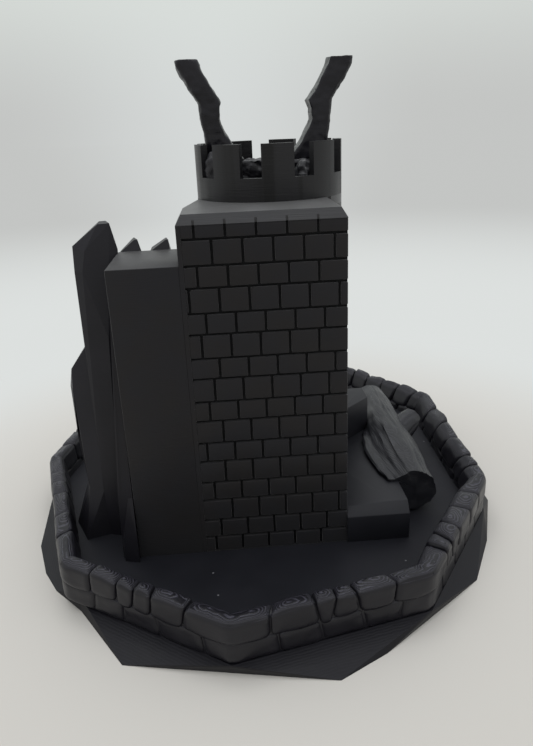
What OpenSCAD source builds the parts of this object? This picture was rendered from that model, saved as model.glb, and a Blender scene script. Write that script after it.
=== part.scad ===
// Ruined tower in a walled tray, a tabletop terrain piece.
// Plan places are measured from the middle of the tower's flat back:
// x to the right, y towards the front, z up from the tray floor.

/* [Tower] */
// Width of the tower's flat back
tower_w = 60; // [52:1:66]
// Height of the flat back, up to the slab
face_h = 132.8; // [125:0.1:140]
// Thickness of the slab over the shaft
slab_t = 3.6; // [3:0.1:5]
// Sloped edge of the slab, measured inwards
slab_slope = 2; // [1:0.1:3]
// Outer radius of the round shaft and of the turret
shaft_r = 30.2; // [29:0.1:32]
// Radius of the hollow inside the shaft
bore_r = 26; // [22:0.5:27]
// Width of the doorway at the front
door_w = 26; // [18:1:32]
// Height of the doorway's straight sides
door_spring = 22; // [14:1:30]

/* [Brick face] */
// Height of a tall brick course with its joint
course_tall = 9.3; // [8.5:0.1:10]
// Height of a short brick course with its joint
course_short = 8; // [7:0.1:8.5]
// Length of a brick with its joint
brick_pitch = 10.85; // [9:0.05:13]
// Width of the joints between bricks
joint_w = 0.9; // [0.5:0.1:1.4]
// Depth of the joints between bricks
joint_d = 0.9; // [0.5:0.1:1.2]

/* [Turret] */
// Height of the turret's solid ring above the slab
ring_h = 8.8; // [6:0.1:11]
// Height of the merlons above the ring
merlon_h = 12.3; // [9:0.1:15]
// Number of merlons
merlon_count = 9; // [7:1:11]
// Angle that one merlon takes
merlon_angle = 24; // [18:0.5:28]
// Thickness of the turret's wall
turret_wall = 2.8; // [2:0.1:3.2]
// Height of the post tops above the slab
post_h = 51.6; // [46:0.1:58]
// Depth of a post from back to front
post_depth = 9.5; // [7:0.5:12]

/* [Tray] */
// Height of the stone wall above the floor
wall_h = 12.8; // [10:0.1:16]
// Thickness of the stone wall
wall_t = 7.6; // [6.5:0.1:9]
// Thickness of the floor plate
floor_t = 4.5; // [3.5:0.1:6]
// Height of the rock skirt under the wall
skirt_h = 4.5; // [3:0.1:6]
// Depth that the tower and the annex sink into the floor
seat_d = 1.5; // [1:0.1:2]

/* [Sides] */
// Width of the annex
annex_w = 25.8; // [22:0.1:28]
// Height of the annex
annex_h = 118.9; // [110:0.1:125]
// Depth of the annex from back to front
annex_depth = 36.3; // [30:0.1:40]
// Width of the low platform
platform_w = 26; // [24:0.1:28]
// Height of the low platform
platform_h = 16; // [14:0.1:18]
// Height of the step block's top above the floor
step_h = 33; // [28:0.5:38]
// Radius of the fallen trunk at its near end
log_r = 11.3; // [10:0.1:12]

/* [Hidden] */
$fn = 96;
fit = 0.1;
slack = 0.02;

// Colours of the dark print
floor_tint = [0.12, 0.13, 0.14];
tower_tint = [0.15, 0.15, 0.15];
stone_tint = [0.19, 0.19, 0.20];
rock_tint = [0.16, 0.16, 0.17];
wood_tint = [0.20, 0.21, 0.21];

// Corners of the wall's outer line, seen from above, from the corner nearest the flat back
wall_corners = [[-20, -58], [54, -40], [97.4, 22.5], [100, 119], [63, 172], [-20, 187], [-90, 148],
    [-107, 71], [-83, -17]];
side_count = len(wall_corners);

// Points of the rock skirt on the table, on both sides of the notch below the left wall's near corner
skirt_notch = [-77.5, -19.5];
skirt_near = [skirt_notch, [-58, -49], [16, -64], [34, -54], [78.5, -20], [92.4, 5], [105, 36], [107, 76]];
skirt_far = [[107, 76], [92, 150], [26, 192], [-60, 180], [-108, 112], [-104, 26], [-97, 6], [-90, -6], skirt_notch];
skirt_outline = concat(skirt_near, skirt_far);

// How far the coping stones of each run lean inwards
cap_lean = [0, 3, 1.2, 0.5, 0, 0, 0, 0, 0];

// Stone lengths along one run, as shares: coping course above, long stones below
cap_shares = [1.3, 1.2, 0.7, 0.7, 1.25, 1.1];
low_shares = [1.2, 1.45, 1, 1.35, 1.15];
// The two runs by the flat back, first and last
first_caps = [1.3, 1.4, 0.6, 0.75, 1.25, 1.35];
first_lows = [1.05, 0.95, 1, 0.9, 0.75];
last_caps = [1.2, 1.15, 0.68, 0.7, 1.4, 1.6];
last_lows = [1, 0.95, 1.05, 1.3, 0.75];
stone_gap = 0.9;
shoulder = 1.1;

function corner(i) = wall_corners[(i + side_count) % side_count];
function side_vec(i) = corner(i + 1) - corner(i);
function side_len(i) = norm(side_vec(i));
function side_dir(i) = side_vec(i) / side_len(i);
function side_out(i) = [side_dir(i)[1], -side_dir(i)[0]];
function half_turn(i) = acos(side_dir(i - 1) * side_dir(i)) / 2;
function inner_corner(i, t) = corner(i) - (side_out(i - 1) + side_out(i)) * t / (2 * pow(cos(half_turn(i)), 2));

floor_outline = [for (i = [0 : side_count - 1]) inner_corner(i, wall_t)];

// The part's origin is under the middle of the skirt
xs = [for (p = skirt_outline) p[0]];
ys = [for (p = skirt_outline) p[1]];
origin_x = (min(xs) + max(xs)) / 2;
origin_y = (min(ys) + max(ys)) / 2;
floor_z = skirt_h + floor_t;
foot_z = -floor_t;
table_z = -floor_z;
plate_t = 0.8;

// Tower plan
shaft_x = 7;
shaft_y = 56.6;
block_depth = 21;
right_side = 37;
slab_z = face_h + slab_t;
merlon_first = 272.8;
spigot_h = 3;
spigot_wall = 2;
slab_lip = 0.15;
deck_t = 1.6;
deck_z = slab_z + deck_t;
sheet_t = 1.6;
key_w = 6;
key_d = 2;
key_heights = [30, 85];
key_y = 8;

// Bond of the brick courses: place of one upright joint in each course, from the top
bond = [-2.2, 3.6, -2, 5.3, -0.1, -2.3, 3.7, 1.3, -1.2, 3.4, -3.4, 3.2, -1.7, 4.9, -0.1, -2.6];
top_course = 4.9;
plain_margin = 1.6;
function course_h(k) = k % 2 == 1 ? course_tall : course_short;
function course_top(k) = k == 0 ? face_h : k == 1 ? face_h - top_course : course_top(k - 1) - course_h(k - 1);

// Posts: height above the slab, inner and outer distance from the turret's middle
post_stations = [[14, 8.5, 24.2], [17, 11, 24.4], [21, 14, 24.6], [25, 16.2, 25], [29, 18.2, 25.6],
    [33, 18, 26], [36.2, 16.8, 26.4], [39, 19, 28.2], [45.2, 22.8, 32.2], [49, 24.8, 34.4], [51.6, 25.6, 34.4]];
seat_z = slab_z + 14;
saddle_w = 14;
saddle_clear = 0.2;
tenon = 5;
tenon_h = 3.5;
tenon_x = 17;

// Fallen trunk, by distance from the flat back: middle, height of the middle, girth, spread of its left side
log_x = [[18, 63.6], [45, 63.2], [75, 63], [100, 64], [117, 65]];
log_mid = [[18, 10.8], [45, 11.4], [75, 11.8], [100, 12.4], [117, 12.8]];
log_girth = [[18, 0.84], [45, 1], [75, 1.01], [100, 0.9], [117, 0.77]];
log_flare = [[18, 1.45], [26, 1.62], [36, 1.68], [45, 1.62], [54, 1.48], [64, 1.3], [75, 1], [117, 1]];
log_start = 18;
log_end = 117;
log_sides = 18;
log_rings = 16;
stub_root = [68, 70, 12];
stub_tip = [85, 84, 15.5];
stub_r = 6.6;

platform_near = -1;
platform_slope = 4.1;
platform_back = 86;
crease_from = [30, 13];
crease_to = [48.5, platform_near + platform_slope];
crease_tilt = 5;
step_outline = [[36, 55.9], [54, 72.8], [54, platform_back], [30, platform_back]];

// Tube of rings with the same number of points in each, closed at both ends
module tube(rings) {
    m = len(rings[0]);
    n = len(rings);
    points = [for (r = rings) each r];
    near_cap = [for (k = [0 : m - 1]) k];
    far_cap = [for (k = [m - 1 : -1 : 0]) (n - 1) * m + k];
    skin = [for (i = [0 : n - 2], k = [0 : m - 1]) each [
        [i * m + k, (i + 1) * m + k, i * m + (k + 1) % m],
        [i * m + (k + 1) % m, (i + 1) * m + k, (i + 1) * m + (k + 1) % m]]];
    polyhedron(points, concat([near_cap, far_cap], skin), convexity = 6);
}

module on_table() {
    translate([-origin_x, -origin_y, floor_z]) children();
}

// Layers of a rock shard: each layer is a height and its corners
module shard(layers) {
    hull() for (layer = layers) {
        translate([0, 0, layer[0]]) linear_extrude(0.01) polygon(layer[1]);
    }
}

// Dry-stone wall

function share_sum(list, k) = k == 0 ? 0 : list[k - 1] + share_sum(list, k - 1);
function turned(list, by) = [for (k = [0 : len(list) - 1]) list[(k + by) % len(list)]];
function wobble(i, k) = sin(97 * i + 151 * k);

// Coping stones: rounded crown, belly on both sides, flat bed
function cap_profile(gap, belly, rise, lean) = let (h = wall_h - mid_z) [
    [0.3 + gap, mid_z - 0.3],
    [wall_t - 0.3 - gap, mid_z - 0.3],
    [wall_t - gap + 0.6 * lean, mid_z + 0.42 * h],
    [wall_t - 0.8 - gap + lean, mid_z + 0.8 * h - gap],
    [0.7 * wall_t + lean, wall_h + rise - 1.3 * gap],
    [0.3 * wall_t, wall_h + rise - 1.3 * gap],
    [0.8 + gap, mid_z + 0.8 * h - gap],
    [gap - belly, mid_z + 0.42 * h]];
mid_z = 3.4;

// Lower stones: belly outside, plain where the floor plate meets them
function low_profile(gap, belly) = [
    [0.2 + gap, foot_z],
    [wall_t, foot_z],
    [wall_t, 0],
    [wall_t - gap, mid_z / 2],
    [wall_t - 0.3 - gap, mid_z],
    [0.3 + gap, mid_z],
    [gap - belly, (foot_z + mid_z) / 2]];

// One ring of the wall, mitred towards the ends of its run
function wall_ring(i, t, profile, inset) = [for (p = profile)
    let (s0 = inset + p[0] * tan(half_turn(i)), s1 = side_len(i) - inset - p[0] * tan(half_turn(i + 1)),
        s = s0 + (s1 - s0) * t)
    [each (corner(i) + side_dir(i) * s - side_out(i) * p[0]), p[1]]];

// Places of the rings along a run: joint, shoulder, belly, shoulder of each stone
function ring_places(i, shares) = let (total = share_sum(shares, len(shares)), edge = shoulder / side_len(i))
    [for (k = [0 : len(shares) - 1]) let (a = share_sum(shares, k) / total, b = share_sum(shares, k + 1) / total)
        each [[a, 0, k], [a + edge, 1, k], [(a + b) / 2, 2, k], [b - edge, 1, k]]];

module wall_run(i) {
    last = side_count - 1;
    caps = i == 0 ? first_caps : i == last ? last_caps : turned(cap_shares, i);
    lows = i == 0 ? first_lows : i == last ? last_lows : turned(low_shares, 2 * i);
    cap_rings = [for (p = concat(ring_places(i, caps), [[1, 0, 0]]))
        let (lean = p[0] == 0 || p[0] == 1 ? 0 : cap_lean[i])
        wall_ring(i, p[0], p[1] == 0 ? cap_profile(stone_gap, 0, -0.4, lean)
            : cap_profile(0, 0.3 * p[1], 0.25 * p[1] + 0.35 * wobble(i, p[2]), lean), 0)];
    low_rings = [for (p = concat(ring_places(i, lows), [[1, 0, 0]]))
        wall_ring(i, p[0], p[1] == 0 ? low_profile(stone_gap, 0)
            : low_profile(0, 0.35 * p[1] + 0.2 * wobble(i, p[2] + 5)), 2 * slack)];
    color(stone_tint) on_table() {
        tube(low_rings);
        tube(cap_rings);
    }
}

// Tray

// One half of the skirt: sloping rock between its points on the table and the wall above them
module skirt_half(points, corners) {
    hull() {
        translate([0, 0, table_z]) linear_extrude(plate_t) polygon(points);
        translate([0, 0, foot_z - plate_t]) linear_extrude(plate_t) polygon(corners);
    }
}

module base_skirt() {
    notch_top = inner_corner(side_count - 1, 4.5);
    color(rock_tint) on_table() {
        skirt_half(skirt_near, [notch_top, corner(0), corner(1), corner(2), corner(3)]);
        skirt_half(skirt_far, [corner(3), corner(4), corner(5), corner(6), corner(7), notch_top]);
    }
}

module tray_floor() {
    color(floor_tint) on_table() difference() {
        translate([0, 0, foot_z]) linear_extrude(floor_t) polygon(floor_outline);
        translate([0, 0, -seat_d]) linear_extrude(floor_t) tower_plan(fit);
        translate([-tower_w / 2 - annex_w - fit, -fit, -seat_d])
            cube([annex_w + 2 * fit, annex_depth + 2 * fit, floor_t]);
    }
}

// Tower

// Plan of the tower: flat block at the back, tapering into the round shaft
function taper_swing(r, from) = atan2(from[1], from[0]) - acos(r / norm(from));
block_corner = [-tower_w / 2, block_depth];
taper_angle = taper_swing(shaft_r, block_corner - [shaft_x, shaft_y]);
taper_turn = taper_angle - 90;
taper_len = 0.92 * sqrt(pow(norm(block_corner - [shaft_x, shaft_y]), 2) - pow(shaft_r, 2));

module tower_plan(grow) {
    r = shaft_r + grow;
    w = tower_w / 2 + grow;
    middle = [shaft_x, shaft_y];
    left_corner = [-w, block_depth];
    swing = taper_swing(r, left_corner - middle);
    translate(middle) circle(r);
    polygon([[-w, -grow], [w, -grow], [w, shaft_y], middle, middle + r * [cos(swing), sin(swing)], left_corner]);
}

module door_cut() {
    translate([shaft_x, shaft_y, 0]) {
        translate([-door_w / 2, 0, 0]) cube([door_w, 2 * shaft_r, door_spring]);
        translate([0, 0, door_spring]) rotate([-90, 0, 0]) cylinder(h = 2 * shaft_r, d = door_w);
    }
}

module tower_shaft() {
    color(tower_tint) on_table() difference() {
        translate([0, 0, -seat_d]) linear_extrude(face_h + seat_d) tower_plan(0);
        translate([shaft_x, shaft_y, 0]) cylinder(h = slab_z, r = bore_r);
        door_cut();
        translate([-tower_w, -sheet_t, 0]) cube([2 * tower_w, 2 * sheet_t, slab_z]);
        for (z = key_heights) {
            translate([-tower_w / 2 - slack, key_y - fit, z - fit])
                cube([key_d + 2 * fit, key_w + 2 * fit, key_w + 2 * fit]);
        }
    }
}

module brick_joints() {
    for (k = [1 : len(bond) - 1]) {
        translate([-tower_w / 2 + plain_margin, course_top(k) - joint_w / 2]) square([tower_w, joint_w]);
    }
    for (k = [0 : len(bond) - 1], n = [-3 : 3]) {
        x = bond[k] + n * brick_pitch;
        low = k == len(bond) - 1 ? 0 : course_top(k + 1);
        if (x > plain_margin + joint_w - tower_w / 2 && x < tower_w / 2 - 2 * joint_w) {
            translate([x - joint_w / 2, low]) square([joint_w, course_top(k) - low]);
        }
    }
}

module brick_face() {
    color(tower_tint) on_table() {
        translate([-tower_w / 2, joint_d, 0]) cube([tower_w, sheet_t - joint_d, face_h]);
        translate([0, joint_d, 0]) rotate([90, 0, 0]) linear_extrude(joint_d) difference() {
            translate([-tower_w / 2, 0]) square([tower_w, face_h]);
            brick_joints();
        }
    }
}

// Sloped cut along one edge of the slab: the edge runs along X, and the slab is on its +Y side
module slope_cut(from, to) {
    lean = atan2(slab_slope, slab_t - slab_lip);
    translate([from, 0, slab_lip]) rotate([-lean, 0, 0]) translate([0, -4 * slab_t, 0])
        cube([to - from, 4 * slab_t, 4 * slab_t]);
}

// Slab, notched where the upright joints of the top course run up into its sloped edge
module turret_slab() {
    color(tower_tint) on_table() translate([0, 0, face_h]) difference() {
        linear_extrude(slab_t) tower_plan(0);
        translate([shaft_x, shaft_y, -slab_t]) cylinder(h = 3 * slab_t, r = bore_r);
        slope_cut(-tower_w, tower_w);
        translate([-tower_w / 2, 0, 0]) rotate([0, 0, -90]) slope_cut(-tower_w, tower_w);
        translate(block_corner) rotate([0, 0, taper_turn + 180]) slope_cut(-taper_len, block_depth);
        translate([tower_w / 2, 0, 0]) rotate([0, 0, 90]) slope_cut(-tower_w, right_side);
        for (n = [-2 : 2]) {
            translate([bond[0] + n * brick_pitch - joint_w / 2, -joint_d, -slack])
                cube([joint_w, 2 * joint_d, 2 * slab_t]);
        }
    }
}

module turret_drum() {
    inner_r = shaft_r - turret_wall;
    spigot_r = bore_r - fit;
    gap_angle = 360 / merlon_count - merlon_angle;
    reach = 2 * shaft_r;
    color(tower_tint) on_table() translate([shaft_x, shaft_y, slab_z]) difference() {
        union() {
            cylinder(h = ring_h + merlon_h, r = shaft_r);
            translate([0, 0, -spigot_h]) cylinder(h = spigot_h + slack, r = spigot_r);
        }
        translate([0, 0, deck_t]) cylinder(h = ring_h + merlon_h, r = inner_r);
        translate([0, 0, -2 * spigot_h]) cylinder(h = 3 * spigot_h, r = spigot_r - spigot_wall);
        for (k = [0 : merlon_count - 1]) {
            rotate([0, 0, merlon_first + (k + 0.5) * 360 / merlon_count])
                translate([0, 0, ring_h]) linear_extrude(2 * merlon_h)
                    polygon([[0, 0], reach * [cos(gap_angle / 2), -sin(gap_angle / 2)],
                        reach * [cos(gap_angle / 2), sin(gap_angle / 2)]]);
        }
    }
}

// Rough bridge across the turret, arched underneath
module saddle() {
    r = shaft_r - turret_wall - saddle_clear;
    arch_r = 17;
    color(rock_tint) on_table() translate([shaft_x, shaft_y, 0]) difference() {
        intersection() {
            translate([0, 0, deck_z]) cylinder(h = seat_z - deck_z, r = r);
            translate([-r, -saddle_w / 2, 0]) cube([2 * r, saddle_w, 2 * slab_z]);
        }
        translate([0, saddle_w, deck_z]) scale_arch(arch_r);
        for (side = [-1, 1]) {
            translate([side * tenon_x - tenon / 2 - fit, -tenon / 2 - fit, seat_z - tenon_h - fit])
                cube([tenon + 2 * fit, tenon + 2 * fit, 2 * tenon_h]);
        }
    }
}

// Low arch: the top of a large circle, cut at the deck
module scale_arch(half_w) {
    rise = 6;
    r = (half_w * half_w + rise * rise) / (2 * rise);
    intersection() {
        translate([0, 0, rise - r]) rotate([90, 0, 0]) cylinder(h = 2 * saddle_w, r = r);
        translate([-half_w, -2 * saddle_w, -slack]) cube([2 * half_w, 2 * saddle_w, 2 * rise]);
    }
}

// Gnarled post: eight-sided, bent outwards, with a knot on its inner edge
function post_ring(s) = let (mid = (s[1] + s[2]) / 2, half = (s[2] - s[1]) / 2, d = post_depth / 2, c = 0.7)
    [for (p = [[-1, -c], [-c, -1], [c, -1], [1, -c], [1, c], [c, 1], [-c, 1], [-1, c]])
        [mid + half * p[0], d * p[1], s[0] * post_h / 51.6]];

module post_form(stretch, shift) {
    foot = seat_z - slab_z;
    translate([shift, 0, foot]) scale([1, 1, stretch]) translate([0, 0, -foot])
        tube([for (s = post_stations) post_ring(s)]);
    translate([tenon_x - tenon / 2, -tenon / 2, seat_z - slab_z - tenon_h]) cube([tenon, tenon, tenon_h + 1]);
}

module post_right() {
    color(wood_tint) on_table() translate([shaft_x, shaft_y, slab_z]) post_form(1, 0);
}

module post_left() {
    color(wood_tint) on_table() translate([shaft_x, shaft_y, slab_z]) mirror([1, 0, 0]) post_form(1.025, 1.1);
}

// Left side

module annex() {
    color(tower_tint) on_table() translate([-tower_w / 2 - annex_w, 0, -seat_d]) {
        cube([annex_w, annex_depth, annex_h + seat_d]);
        for (z = key_heights) {
            translate([annex_w - slack, key_y, z + seat_d]) cube([key_d + slack, key_w, key_w]);
        }
    }
}

annex_left = -tower_w / 2 - annex_w;
spire_left = annex_left - 17.2;
spire_foot = spire_left + 2.6;
spire_side_h = 112;
function spire_edge(z) = spire_foot + (spire_left - spire_foot) * z / spire_side_h;

module crag_spire() {
    color(rock_tint) on_table() shard([
        [0, [[spire_foot, 18], [-66, 16.5], [annex_left, 21], [annex_left, 52], [-64, 58], [spire_foot, 56]]],
        [86, [[spire_edge(86), 29], [-61.8, 26.4], [annex_left, 29.5], [annex_left, 48], [-64, 52], [spire_edge(86), 50]]],
        [112, [[spire_left, 33], [-69.3, 30.8], [annex_left, 34], [annex_left, 47], [-64, 50], [spire_left, 48]]],
        [120.4, [[spire_left, 36], [-68.4, 32.4], [-57, 34.5], [-57, 45], [spire_left, 45]]],
        [129.4, [[-62, 36], [-58.8, 36], [-58.8, 42], [-62, 42]]]]);
}

module crag_shard() {
    knee = 20;
    knee_outline = [[-78, 24], [-80.5, 34], [-81, 52], [spire_edge(knee), 56], [spire_edge(knee), 22]];
    color(rock_tint) on_table() {
        shard([
            [0, [[-80, 15], [-87, 30], [-86, 56], [spire_foot, 60], [spire_foot, 18]]],
            [knee, knee_outline]]);
        shard([
            [knee, knee_outline],
            [64, [[-80, 30], [-82, 34], [-82, 50], [spire_edge(64), 52], [spire_edge(64), 27]]],
            [71.5, [[-80.5, 33], [-80.5, 48], [spire_edge(71.5), 50], [spire_edge(71.5), 30]]],
            [80.5, [[-74, 34], [-74, 44], [spire_edge(80.5), 44], [spire_edge(80.5), 34]]]]);
    }
}

module crag_back_left() {
    y = annex_depth;
    color(rock_tint) on_table() shard([
        [0, [[annex_left, y + 16], [annex_left, y], [-45.2, y], [-44, y + 18], [-50, y + 21]]],
        [90, [[annex_left, y + 12], [annex_left, y], [-46, y], [-46, y + 14]]],
        [117, [[annex_left, y + 10], [annex_left, y], [-47.2, y], [-47.2, y + 11]]],
        [121.5, [[-51.8, y + 8], [-51.8, y + 3], [-48.8, y + 3], [-48.8, y + 8]]]]);
}

module crag_back_right() {
    y = annex_depth;
    color(rock_tint) on_table() shard([
        [0, [[-44, y + 18], [-45.2, y], [-32, y], [-30, y + 10], [-36, y + 17]]],
        [90, [[-43.6, y + 14], [-44.6, y], [-34, y], [-33, y + 9]]],
        [117, [[-43.4, y + 9], [-43.4, y], [-35.3, y], [-35.3, y + 8]]],
        [120.8, [[-38.4, y + 7], [-38.4, y + 3], [-36.8, y + 3], [-36.8, y + 7]]]]);
}

module crag_foot() {
    color(rock_tint) on_table() {
        shard([
            [0, [[-62.3, 0], [annex_left, 0], [annex_left, 15], [-62, 14]]],
            [28, [[-61.4, 0], [annex_left, 0], [annex_left, 15], [-61, 14]]],
            [48, [[-60, 0.5], [annex_left, 0.5], [annex_left, 14], [-60, 13]]],
            [100, [[annex_left - 0.6, 3], [annex_left, 3], [annex_left, 10], [annex_left - 0.6, 10]]]]);
        shard([
            [0, [[-62.3, 1], [-61.6, -2.2], [annex_left, -3.8], [annex_left, 1]]],
            [10, [[-61.8, 1], [-60.8, -1.6], [annex_left, -2.8], [annex_left, 1]]],
            [28, [[-58, 1], [-57.6, 0], [annex_left, 0], [annex_left, 1]]]]);
    }
}

// Right side

module platform_form(near_slope) {
    translate([tower_w / 2, 0, 0]) rotate([90, 0, 90]) linear_extrude(platform_w)
        polygon([[platform_near, 0], [platform_back, 0], [platform_back, platform_h],
            [platform_near + near_slope, platform_h], [platform_near, platform_h - near_slope]]);
}

module platform() {
    color(floor_tint) on_table() difference() {
        platform_form(platform_slope);
        translate([shaft_x, shaft_y, -1]) cylinder(h = 2 * platform_h, r = shaft_r + slack);
        crease_cut();
    }
}

// Shallow facet on the platform's near corner by the tower
module crease_cut() {
    along = crease_to - crease_from;
    translate([each crease_from, platform_h]) rotate([0, 0, atan2(along[1], along[0])]) rotate([crease_tilt, 0, 0])
        translate([-platform_w, -platform_w, 0]) cube([3 * platform_w, platform_w, platform_h]);
}

module step_block() {
    color(floor_tint) on_table() difference() {
        translate([0, 0, platform_h]) linear_extrude(step_h - platform_h) polygon(step_outline);
        translate([shaft_x, shaft_y, 0]) cylinder(h = 2 * step_h, r = shaft_r + slack);
    }
}

// One ring of the trunk: slightly lumpy, like split bark
function log_ring(k) = let (y = log_start + (log_end - log_start) * k / (log_rings - 1),
    r = log_r * lookup(y, log_girth))
    [for (n = [0 : log_sides - 1]) let (a = -360 * n / log_sides,
        lump = r * (1 + 0.03 * sin(3 * a + 40 * k) + 0.025 * sin(7 * a - 70 * k)))
        [lookup(y, log_x) + lump * cos(a) * (cos(a) < 0 ? lookup(y, log_flare) : 1), y,
            max(0, lookup(y, log_mid) + lump * sin(a))]];

module trunk() {
    tube([for (k = [0 : log_rings - 1]) log_ring(k)]);
}

module log() {
    color(wood_tint) on_table() difference() {
        trunk();
        translate([0, platform_near, -1]) cube([tower_w / 2 + platform_w, platform_back - platform_near, platform_h + 1]);
        translate([0, 0, platform_h]) linear_extrude(step_h) polygon(step_outline);
    }
}

module branch_stub() {
    run = stub_tip - stub_root;
    color(wood_tint) on_table() difference() {
        translate(stub_root) rotate([0, acos(run[2] / norm(run)), atan2(run[1], run[0])])
            cylinder(h = norm(run), r1 = 1.1 * stub_r, r2 = 0.9 * stub_r, $fn = 10);
        trunk();
    }
}

// The nine runs of wall are wall_side_1 to wall_side_9

base_skirt();
tray_floor();
wall_run(0);  // wall_side_1
wall_run(1);  // wall_side_2
wall_run(2);  // wall_side_3
wall_run(3);  // wall_side_4
wall_run(4);  // wall_side_5
wall_run(5);  // wall_side_6
wall_run(6);  // wall_side_7
wall_run(7);  // wall_side_8
wall_run(8);  // wall_side_9
tower_shaft();
brick_face();
turret_slab();
turret_drum();
saddle();
post_left();
post_right();
annex();
crag_spire();
crag_shard();
crag_back_left();
crag_back_right();
crag_foot();
platform();
step_block();
log();
branch_stub();
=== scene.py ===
"""Looks of a ruined tower in a walled tray: a black filament print on a pale table."""
import math
import random

import bmesh
import bpy
from mathutils import Matrix, Vector, noise


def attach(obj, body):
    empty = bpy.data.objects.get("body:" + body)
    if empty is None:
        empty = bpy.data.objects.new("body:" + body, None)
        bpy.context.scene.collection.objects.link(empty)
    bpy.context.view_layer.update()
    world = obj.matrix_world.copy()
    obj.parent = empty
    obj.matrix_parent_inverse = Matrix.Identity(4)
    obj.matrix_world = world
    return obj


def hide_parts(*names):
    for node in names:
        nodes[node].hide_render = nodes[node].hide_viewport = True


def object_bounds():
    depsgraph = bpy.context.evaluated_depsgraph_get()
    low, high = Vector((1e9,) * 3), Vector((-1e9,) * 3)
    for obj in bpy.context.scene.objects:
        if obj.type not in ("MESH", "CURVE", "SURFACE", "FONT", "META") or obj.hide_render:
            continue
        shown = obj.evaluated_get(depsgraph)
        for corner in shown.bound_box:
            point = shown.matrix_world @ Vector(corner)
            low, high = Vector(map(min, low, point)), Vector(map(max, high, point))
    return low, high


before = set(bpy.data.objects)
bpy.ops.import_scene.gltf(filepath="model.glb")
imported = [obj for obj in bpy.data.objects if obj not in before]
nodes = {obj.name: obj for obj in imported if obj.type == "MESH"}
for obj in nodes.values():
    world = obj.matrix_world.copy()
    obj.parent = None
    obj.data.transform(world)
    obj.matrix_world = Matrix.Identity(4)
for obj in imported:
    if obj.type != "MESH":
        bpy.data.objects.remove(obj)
cad_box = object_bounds()

MM = 0.001
# The middle of the tower's flat back, at floor height, in the part's frame
TOWER = Vector((0.5, -64.0, 9.0))
# Vector noise is drawn anew at every run unless it is seeded
NOISE_SEED = 2
noise.seed_set(NOISE_SEED)


def at(x, y, z):
    """A place given in millimetres from the tower's flat back and the tray floor, in metres."""
    return (Vector((x, y, z)) + TOWER) * MM


def from_tower(place):
    """The same the other way: a place in metres as millimetres from the tower's flat back."""
    return place / MM - TOWER


def smooth_step(x, low, high):
    t = min(1.0, max(0.0, (x - low) / (high - low)))
    return t * t * (3.0 - 2.0 * t)


def between(a, b, share):
    return (1.0 - share) * a + share * b


def along(stations, x):
    """Value at x on a smooth line through stations of (x, value)."""
    if x <= stations[0][0]:
        return stations[0][1]
    for (x0, v0), (x1, v1) in zip(stations, stations[1:]):
        if x <= x1:
            return v0 + (v1 - v0) * smooth_step(x, x0, x1)
    return stations[-1][1]


# Nodes that the finishes, the table and the room are made of

def feed(tree, socket, value):
    """Set a socket to a plain number, or link another socket to it."""
    if isinstance(value, float):
        socket.default_value = value
    else:
        tree.links.new(value, socket)


def calc(tree, operation, a, b=0.0):
    node = tree.nodes.new("ShaderNodeMath")
    node.operation = operation
    for socket, value in zip(node.inputs, (a, b)):
        feed(tree, socket, value)
    return node.outputs[0]


def span(tree, value, low, high, to_low=0.0, to_high=1.0):
    """Smooth change from one value to another while the given one goes from low to high."""
    node = tree.nodes.new("ShaderNodeMapRange")
    node.interpolation_type = "SMOOTHSTEP"
    tree.links.new(value, node.inputs["Value"])
    ends = (("From Min", low), ("From Max", high), ("To Min", to_low), ("To Max", to_high))
    for label, given in ends:
        feed(tree, node.inputs[label], given)
    return node.outputs[0]


def cloud(tree, place, scale, detail=2.0):
    node = tree.nodes.new("ShaderNodeTexNoise")
    node.inputs["Detail"].default_value = detail
    tree.links.new(place, node.inputs["Vector"])
    feed(tree, node.inputs["Scale"], scale)
    return node.outputs[0]


def parts(tree, vector):
    """The X, Y and Z of a vector."""
    node = tree.nodes.new("ShaderNodeSeparateXYZ")
    tree.links.new(vector, node.inputs[0])
    return node.outputs


def stretched(tree, place, scale):
    """A place scaled by axis, so that a pattern on it is drawn out or pressed flat."""
    node = tree.nodes.new("ShaderNodeMapping")
    node.inputs["Scale"].default_value = scale
    tree.links.new(place, node.inputs["Vector"])
    return node.outputs[0]


def tint(tree, share, plain, other):
    """Mix of two colours, each a tuple or a socket."""
    mix = tree.nodes.new("ShaderNodeMix")
    mix.data_type = "RGBA"
    tree.links.new(share, mix.inputs["Factor"])
    for socket, colour in ((mix.inputs[6], plain), (mix.inputs[7], other)):
        if isinstance(colour, tuple):
            socket.default_value = (*colour, 1.0)
        else:
            tree.links.new(colour, socket)
    return mix.outputs[2]


def bump(tree, height, strength, distance, under=None):
    node = tree.nodes.new("ShaderNodeBump")
    node.inputs["Strength"].default_value = strength
    node.inputs["Distance"].default_value = distance
    tree.links.new(height, node.inputs["Height"])
    if under is not None:
        tree.links.new(under, node.inputs["Normal"])
    return node.outputs["Normal"]


# Effects that the finishes share

LINE_SQUEEZE = (1.0, 1.0, 30.0)
STREAK_DRAW = (1.0, 0.4, 0.02)
SEAM_FADE = 0.003
SPECK_CORE = 0.004


def new_group(name, inputs, outputs):
    group = bpy.data.node_groups.new(name, "ShaderNodeTree")
    for label, value in inputs:
        socket = group.interface.new_socket(name=label, in_out="INPUT", socket_type="NodeSocketFloat")
        socket.default_value = value
    for label in outputs:
        group.interface.new_socket(name=label, in_out="OUTPUT", socket_type="NodeSocketFloat")
    return group, group.nodes.new("NodeGroupInput"), group.nodes.new("NodeGroupOutput")


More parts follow.
